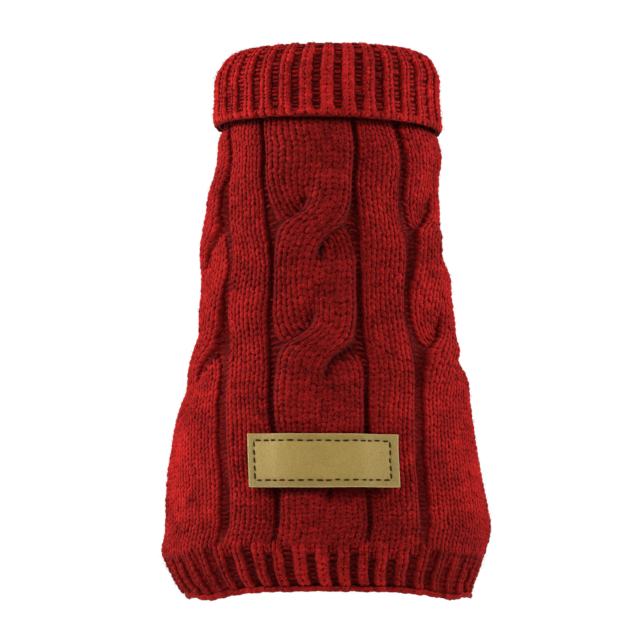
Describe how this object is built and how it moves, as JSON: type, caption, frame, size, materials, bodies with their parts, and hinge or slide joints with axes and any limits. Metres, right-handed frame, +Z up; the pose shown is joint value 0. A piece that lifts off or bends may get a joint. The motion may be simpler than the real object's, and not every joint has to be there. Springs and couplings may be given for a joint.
{
  "type": "dog sweater",
  "caption": "Red cable-knit dog sweater, filled out as if worn, with a turned-down ribbed collar, short leg cuffs, a ribbed hem and a blank stitched leather label.",
  "frame": {"origin": "middle of the neck opening, at the seam where the collar is sewn to the body", "axes": "+Z up the wearer's body to the neck, -Y to the cabled side over the dog's back, +Y to the plain belly, +X to the right of that cabled side as it is seen"},
  "size_m": [0.1382, 0.1027, 0.234],
  "materials": {
    "red_wool": "soft matt knitted wool",
    "label_leather": "smooth, slightly waxed"
  },
  "bodies": {
    "root": {"back_panel": "red_wool", "belly_panel": "red_wool", "collar": "red_wool", "hem_band": "red_wool", "leg_band_left": "red_wool", "leg_band_right": "red_wool", "label": "label_leather"}
  },
  "joints": []
}
